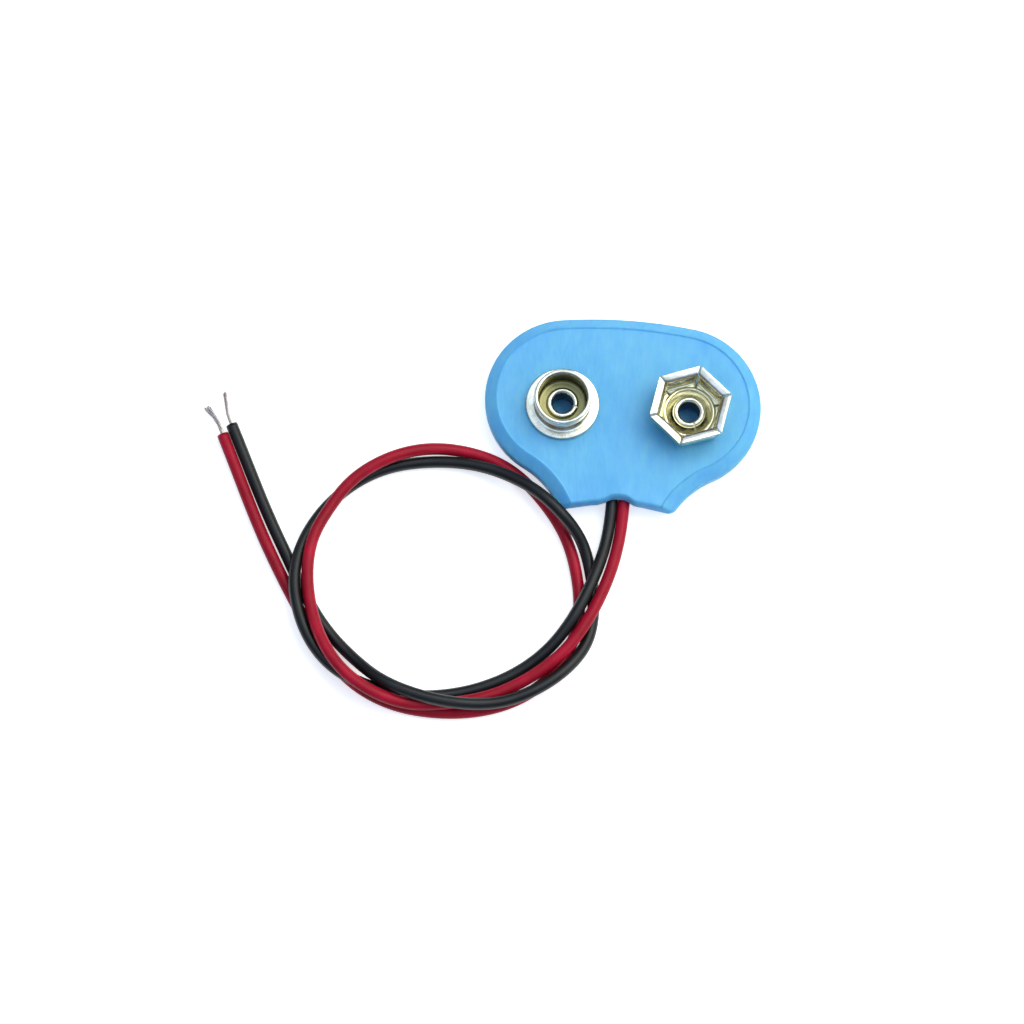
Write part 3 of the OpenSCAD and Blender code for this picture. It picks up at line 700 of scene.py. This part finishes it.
def rear_cover():
    """Vinyl back: rings of the outline from the flat back out round the tray's wall and in over the seam.

    Rings that shrink to a point close the back and the tray's floor.
    """
    wall = rounded(
        [(TRAY_FLAT_IN, 0), (TRAY_FOOT_IN, 0), (TRAY_KNEE_IN, TRAY_KNEE_Z),
         (TRAY_TOP_IN, SEAM_Z - TRAY_TOP_H), (TRAY_TOP_IN, SEAM_Z)], TRAY_ROUNDS, 5)
    mouth_in = MOUTH_UNDER + np.interp(wall[:, 1], [0, TRAY_KNEE_Z, SEAM_Z], TRAY_MOUTH_IN)
    mouth_in += (wall[:, 0] - TRAY_FOOT_IN).clip(0)
    rows = [ring(d, m, z) for (d, z), m in zip(wall[:-1], mouth_in)]
    rows += [ring(TRAY_TOP_IN, mouth_in[-1], SEAM_Z, -TUNNEL_R), ring(SEAM_W, SEAL_LEN, SEAM_Z, -TUNNEL_R),
             ring(SEAM_W, SEAL_LEN, BACK_T)]
    skin = np.concatenate([shrunk(rows[0], 0)[::-1], np.stack(rows), shrunk(rows[-1], BACK_T)])
    piece("rear_vinyl", [skin], VINYL, "rear_cover")


# Contacts, in sizes shared with the solids: heights are above the face

STUD_FLANGE_R, STUD_WAIST_R, STUD_HEAD_R, STUD_CUP_R = 3.7, 2.69, 2.86, 2.43
STUD_H, STUD_WAIST_TOP, STUD_BAND_FOOT = 2.75, 1.62, 1.79
STUD_ROUNDS = (0, 0.14, 0.14, 0.34, 0.12, 0.1, 0.205, 0.205, 0.34, 0.03, 0)

# The eyelet's rolls, and the split across the upper one in radians and as a share of its height.
EYELET_HEAD_D, EYELET_BORE_D, ROLL_H = 3.3, 2.0, 0.38
ROLL_R, ROLL_W = (EYELET_HEAD_D + EYELET_BORE_D) / 4, (EYELET_HEAD_D - EYELET_BORE_D) / 4
SPLIT_W, SPLIT_DEPTH = 0.055, 0.85
STUD_SPLIT, SOCKET_SPLIT = -12, -65

# The socket's floor with its raised ring, and the middle of the petals' sheet from foot to lip.
SOCKET_FLOOR_R, SOCKET_RING_R, SOCKET_RING_H = 2.7, 2.45, 0.22
PETAL_IN_R, PETAL_FOOT_R = 2.15, 0.5
BELLY_R = SOCKET_FLOOR_R + PETAL_FOOT_R
FOOT_Z = CONTACT_T / 2 + PETAL_FOOT_R
GRIP_R, GRIP_Z = 2.85, 1.9
PETAL_LIP_R, PETAL_LIP_Z, PETAL_FLARE, PETAL_CURL, PETAL_SAG = 3.675, 2.9, 0.65, 0.14, 0.023
SLIT_W = 0.06
CROWN_TURN = 19.5
PETALS = 6

# The powers of the superellipse that is the petals' section.
STRIP_WIDE_POWER, STRIP_THICK_POWER = 0.12, 0.5

# How far each petal leans out and rises, as the press leaves them.
PETAL_LEAN = (0.0, -0.03, 0.02, 0.0, -0.02, 0.03)
PETAL_RISE = (0.0, -0.02, 0.0, -0.03, 0.0, -0.02)


def turned(section, centre_x, steps=120, uneven=None):
    """A surface of revolution: the closed section of (radius, height) turned about the contact's axis.

    uneven changes the heights with the angle.
    """
    angle = np.linspace(0, 2 * np.pi, steps, endpoint=False)
    r = section[:, :1]
    z = np.broadcast_to(section[:, 1:], (len(section), steps))
    if uneven:
        z = uneven(z, angle)
    return np.stack([centre_x + r * np.cos(angle), r * np.sin(angle), z], axis=-1)


def stud_contact():
    """Drawn stud: one turned section of flange, waist, head band and a rim rolled over into the open cup."""
    section = rounded(
        [(HOLE_R, 0), (STUD_FLANGE_R, 0), (STUD_FLANGE_R, CONTACT_T), (STUD_WAIST_R, CONTACT_T),
         (STUD_WAIST_R, STUD_WAIST_TOP), (STUD_HEAD_R, STUD_BAND_FOOT), (STUD_HEAD_R, STUD_H),
         (STUD_CUP_R, STUD_H), (STUD_CUP_R, CONTACT_T), (HOLE_R, CONTACT_T), (HOLE_R, 0)], STUD_ROUNDS, 6)
    section[:, 1] += FACE_Z
    piece("stud_cup", [turned(section, -CONTACT_X)], STUD, "stud_contact")


def eyelet(name, centre_x, split, node):
    """Tubular eyelet: one section with a round roll at each end turned about the axis.

    The upper roll is split at that angle in degrees, where a steep-sided bell presses it down.
    """
    up = np.linspace(0, np.pi, 15)
    top = FACE_Z + CONTACT_T
    roll = np.column_stack([ROLL_R + ROLL_W * np.cos(up), top + ROLL_H * np.sin(up)])
    clinch = np.column_stack([ROLL_R - ROLL_W * np.cos(up), TAG_Z - ROLL_H * np.sin(up)])
    shank = [[EYELET_D / 2, TAG_Z], [EYELET_D / 2, top]]
    section = np.vstack([roll, clinch, shank, roll[:1]])

    def cut(z, angle):
        """The heights with the upper roll pressed down at the split."""
        turn = (angle - math.radians(split) + np.pi) % (2 * np.pi) - np.pi
        notch = np.exp(-(turn / SPLIT_W) ** 4)
        return z - (z - top).clip(0) * SPLIT_DEPTH * notch

    piece(name, [turned(section, centre_x, 240, cut)], EYELET, node)


def socket_contact():
    """Spring socket: a turned floor with a raised ring, and six petals.

    Each petal is a strip's section, a superellipse, carried along one bent line that rises from the floor,
    draws in to the waist and curls out into a level lip. Its width follows the flats of a hexagon less the
    slit.
    """
    a = np.linspace(0, np.pi, 13)
    bead = np.column_stack([SOCKET_RING_R + SOCKET_RING_H * np.cos(a),
                            CONTACT_T + SOCKET_RING_H * np.sin(a)])
    floor = np.vstack([[(HOLE_R, 0), (SOCKET_FLOOR_R, 0), (SOCKET_FLOOR_R, CONTACT_T)], bead,
                       [(HOLE_R, CONTACT_T), (HOLE_R, 0)]])
    floor[:, 1] += FACE_Z
    grids = [turned(floor, CONTACT_X)]
    foot = arc(np.array([SOCKET_FLOOR_R, FOOT_Z]), PETAL_FOOT_R, -np.pi / 2, 0, 8)
    q = np.linspace(2 * np.pi, 0, 24, endpoint=False)
    wide = np.sign(np.cos(q)) * np.abs(np.cos(q)) ** STRIP_WIDE_POWER
    thick = np.sign(np.sin(q)) * np.abs(np.sin(q)) ** STRIP_THICK_POWER * CONTACT_T / 2
    flare_r, flare_z = PETAL_LIP_R - PETAL_FLARE, PETAL_LIP_Z - PETAL_CURL
    neck_r, neck_z = GRIP_R + (flare_r - GRIP_R) / 5, (GRIP_Z + flare_z) / 2
    for n, (lean, rise) in enumerate(zip(PETAL_LEAN, PETAL_RISE)):
        spring = curve_through([
            (BELLY_R, FOOT_Z), (BELLY_R, (FOOT_Z + GRIP_Z) / 2), (GRIP_R + lean / 2, GRIP_Z),
            (neck_r + lean / 2, neck_z + rise / 2), (flare_r + lean, flare_z + rise),
            (PETAL_LIP_R - PETAL_FLARE / 2 + lean, PETAL_LIP_Z - PETAL_SAG + rise),
            (PETAL_LIP_R + lean, PETAL_LIP_Z + rise)], 8)
        bend = np.vstack([[(PETAL_IN_R, CONTACT_T / 2)], foot, spring[1:]])
        step = directions(bend)
        radial = bend[:, :1] + thick * step[:, 1:]
        height = bend[:, 1:] - thick * step[:, :1] + FACE_Z
        across = (radial - SLIT_W) * math.tan(math.pi / PETALS) * wide
        strip = np.stack([radial, across, height], axis=-1)
        ends = [np.broadcast_to(row.mean(axis=0), row.shape)[None] for row in (strip[0], strip[-1])]
        strip = np.concatenate([ends[0], strip, ends[1]])
        turn = math.radians(CROWN_TURN) + 2 * math.pi * (n + 0.5) / PETALS
        x = CONTACT_X + strip[..., 0] * math.cos(turn) - strip[..., 1] * math.sin(turn)
        y = strip[..., 0] * math.sin(turn) + strip[..., 1] * math.cos(turn)
        grids.append(np.stack([x, y, strip[..., 2]], axis=-1))
    piece("socket_crown", grids, SPRING, "socket_contact")


front_cover()
rear_cover()
stud_contact()
eyelet("stud_rivet", -CONTACT_X, STUD_SPLIT, "stud_eyelet")
eyelet("socket_rivet", CONTACT_X, SOCKET_SPLIT, "socket_eyelet")
socket_contact()
for node, mat in (("contact_plate", FIBRE), ("stud_solder_tag", NICKEL), ("socket_solder_tag", NICKEL),
                  ("stud_solder_joint", SOLDER), ("socket_solder_joint", SOLDER)):
    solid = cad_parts[node]
    solid.data.materials.clear()
    solid.data.materials.append(mat)


# Floor and surroundings

# Half the paper's width and its height, just under the part, in metres.
PAPER_REACH, PAPER_Z = 8, -2e-5


def paper():
    """White paper: lit by the lamps so that it keeps the shadow, and raised to white where it is seen."""
    fleck_mm, raised = 2.0, 0.6
    mat, tree, shader = material("white paper sweep")
    place = add(tree, "ShaderNodeTexCoord").outputs["Object"]
    fleck = add(tree, "ShaderNodeTexNoise",
                {"Vector": place, "Scale": per_metre(fleck_mm), "Detail": 2.0, "Roughness": NOISE_ROUGH})
    colour = add(tree, "ShaderNodeValToRGB", {"Fac": fleck.outputs["Fac"]},
                 [(0.3, "#fbfbfb"), (0.7, "#ffffff")])
    tree.links.new(colour.outputs["Color"], shader.inputs["Base Color"])
    shader.inputs["Roughness"].default_value = 0.9
    rays = add(tree, "ShaderNodeLightPath")
    seen = add(tree, "ShaderNodeMath", {0: rays.outputs["Is Camera Ray"], 1: rays.outputs["Is Glossy Ray"]},
               operation="MAXIMUM")
    seen = add(tree, "ShaderNodeMath", {0: seen.outputs[0], 1: rays.outputs["Is Transmission Ray"]},
               operation="MAXIMUM")
    glow = add(tree, "ShaderNodeMath", {0: seen.outputs[0], 1: raised}, operation="MULTIPLY")
    tree.links.new(glow.outputs[0], shader.inputs["Emission Strength"])
    shader.inputs["Emission Color"].default_value = (1, 1, 1, 1)
    return mat


corners = [(x * PAPER_REACH, y * PAPER_REACH, PAPER_Z) for x, y in ((-1, -1), (1, -1), (1, 1), (-1, 1))]
floor_mesh = bpy.data.meshes.new("floor")
floor_mesh.from_pydata(corners, [], [(0, 1, 2, 3)])
floor_mesh.materials.append(paper())
floor = bpy.data.objects.new("floor", floor_mesh)
bpy.context.collection.objects.link(floor)

world = bpy.data.worlds.new("studio")
bpy.context.scene.world = world
world.use_nodes = True
sky = world.node_tree
up = add(sky, "ShaderNodeSeparateXYZ", {"Vector": add(sky, "ShaderNodeTexCoord").outputs["Generated"]})
shade = add(sky, "ShaderNodeValToRGB", {"Fac": up.outputs["Z"]},
            [(0.0, "#575038"), (0.3, "#767056"), (0.65, "#8798bc"), (1.0, "#a8c4ee")])
sky.links.new(shade.outputs["Color"], sky.nodes["Background"].inputs["Color"])
sky.nodes["Background"].inputs["Strength"].default_value = 0.85
